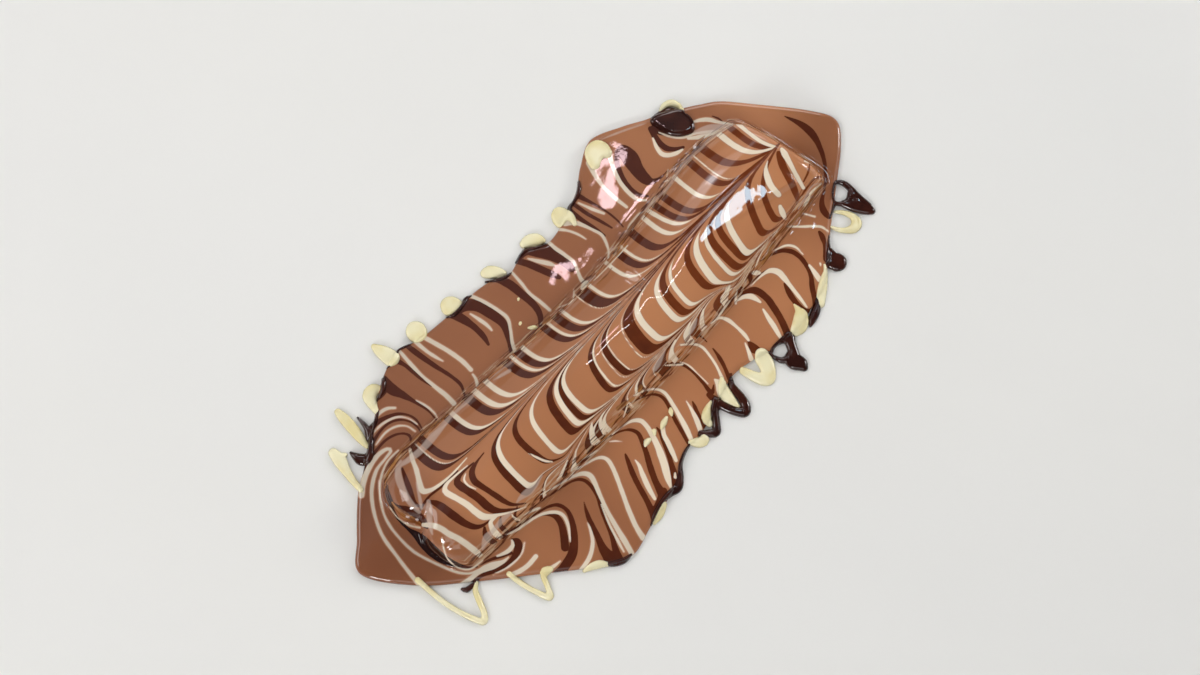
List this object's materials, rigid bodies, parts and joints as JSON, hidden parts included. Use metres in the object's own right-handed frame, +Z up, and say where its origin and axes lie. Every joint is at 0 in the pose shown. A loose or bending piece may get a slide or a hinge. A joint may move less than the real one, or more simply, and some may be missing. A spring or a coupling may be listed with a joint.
{
  "type": "crepe",
  "caption": "Rolled crepe under a milk chocolate coat marbled with white and dark chocolate, lying in a flat pool of the same sauce.",
  "frame": {"origin": "centre of the footprint, on the flat underside that rests on the plate or table", "axes": "+X along the roll, +Y across it, +Z up"},
  "size_m": [0.2609, 0.1254, 0.0166],
  "materials": {
    "coated_crepe": "gloss",
    "chocolate_sauce": "gloss",
    "white_chocolate": "gloss",
    "dark_chocolate": "gloss"
  },
  "bodies": {
    "root": {"crepe": "coated_crepe", "sauce_pool": "chocolate_sauce"}
  },
  "joints": []
}
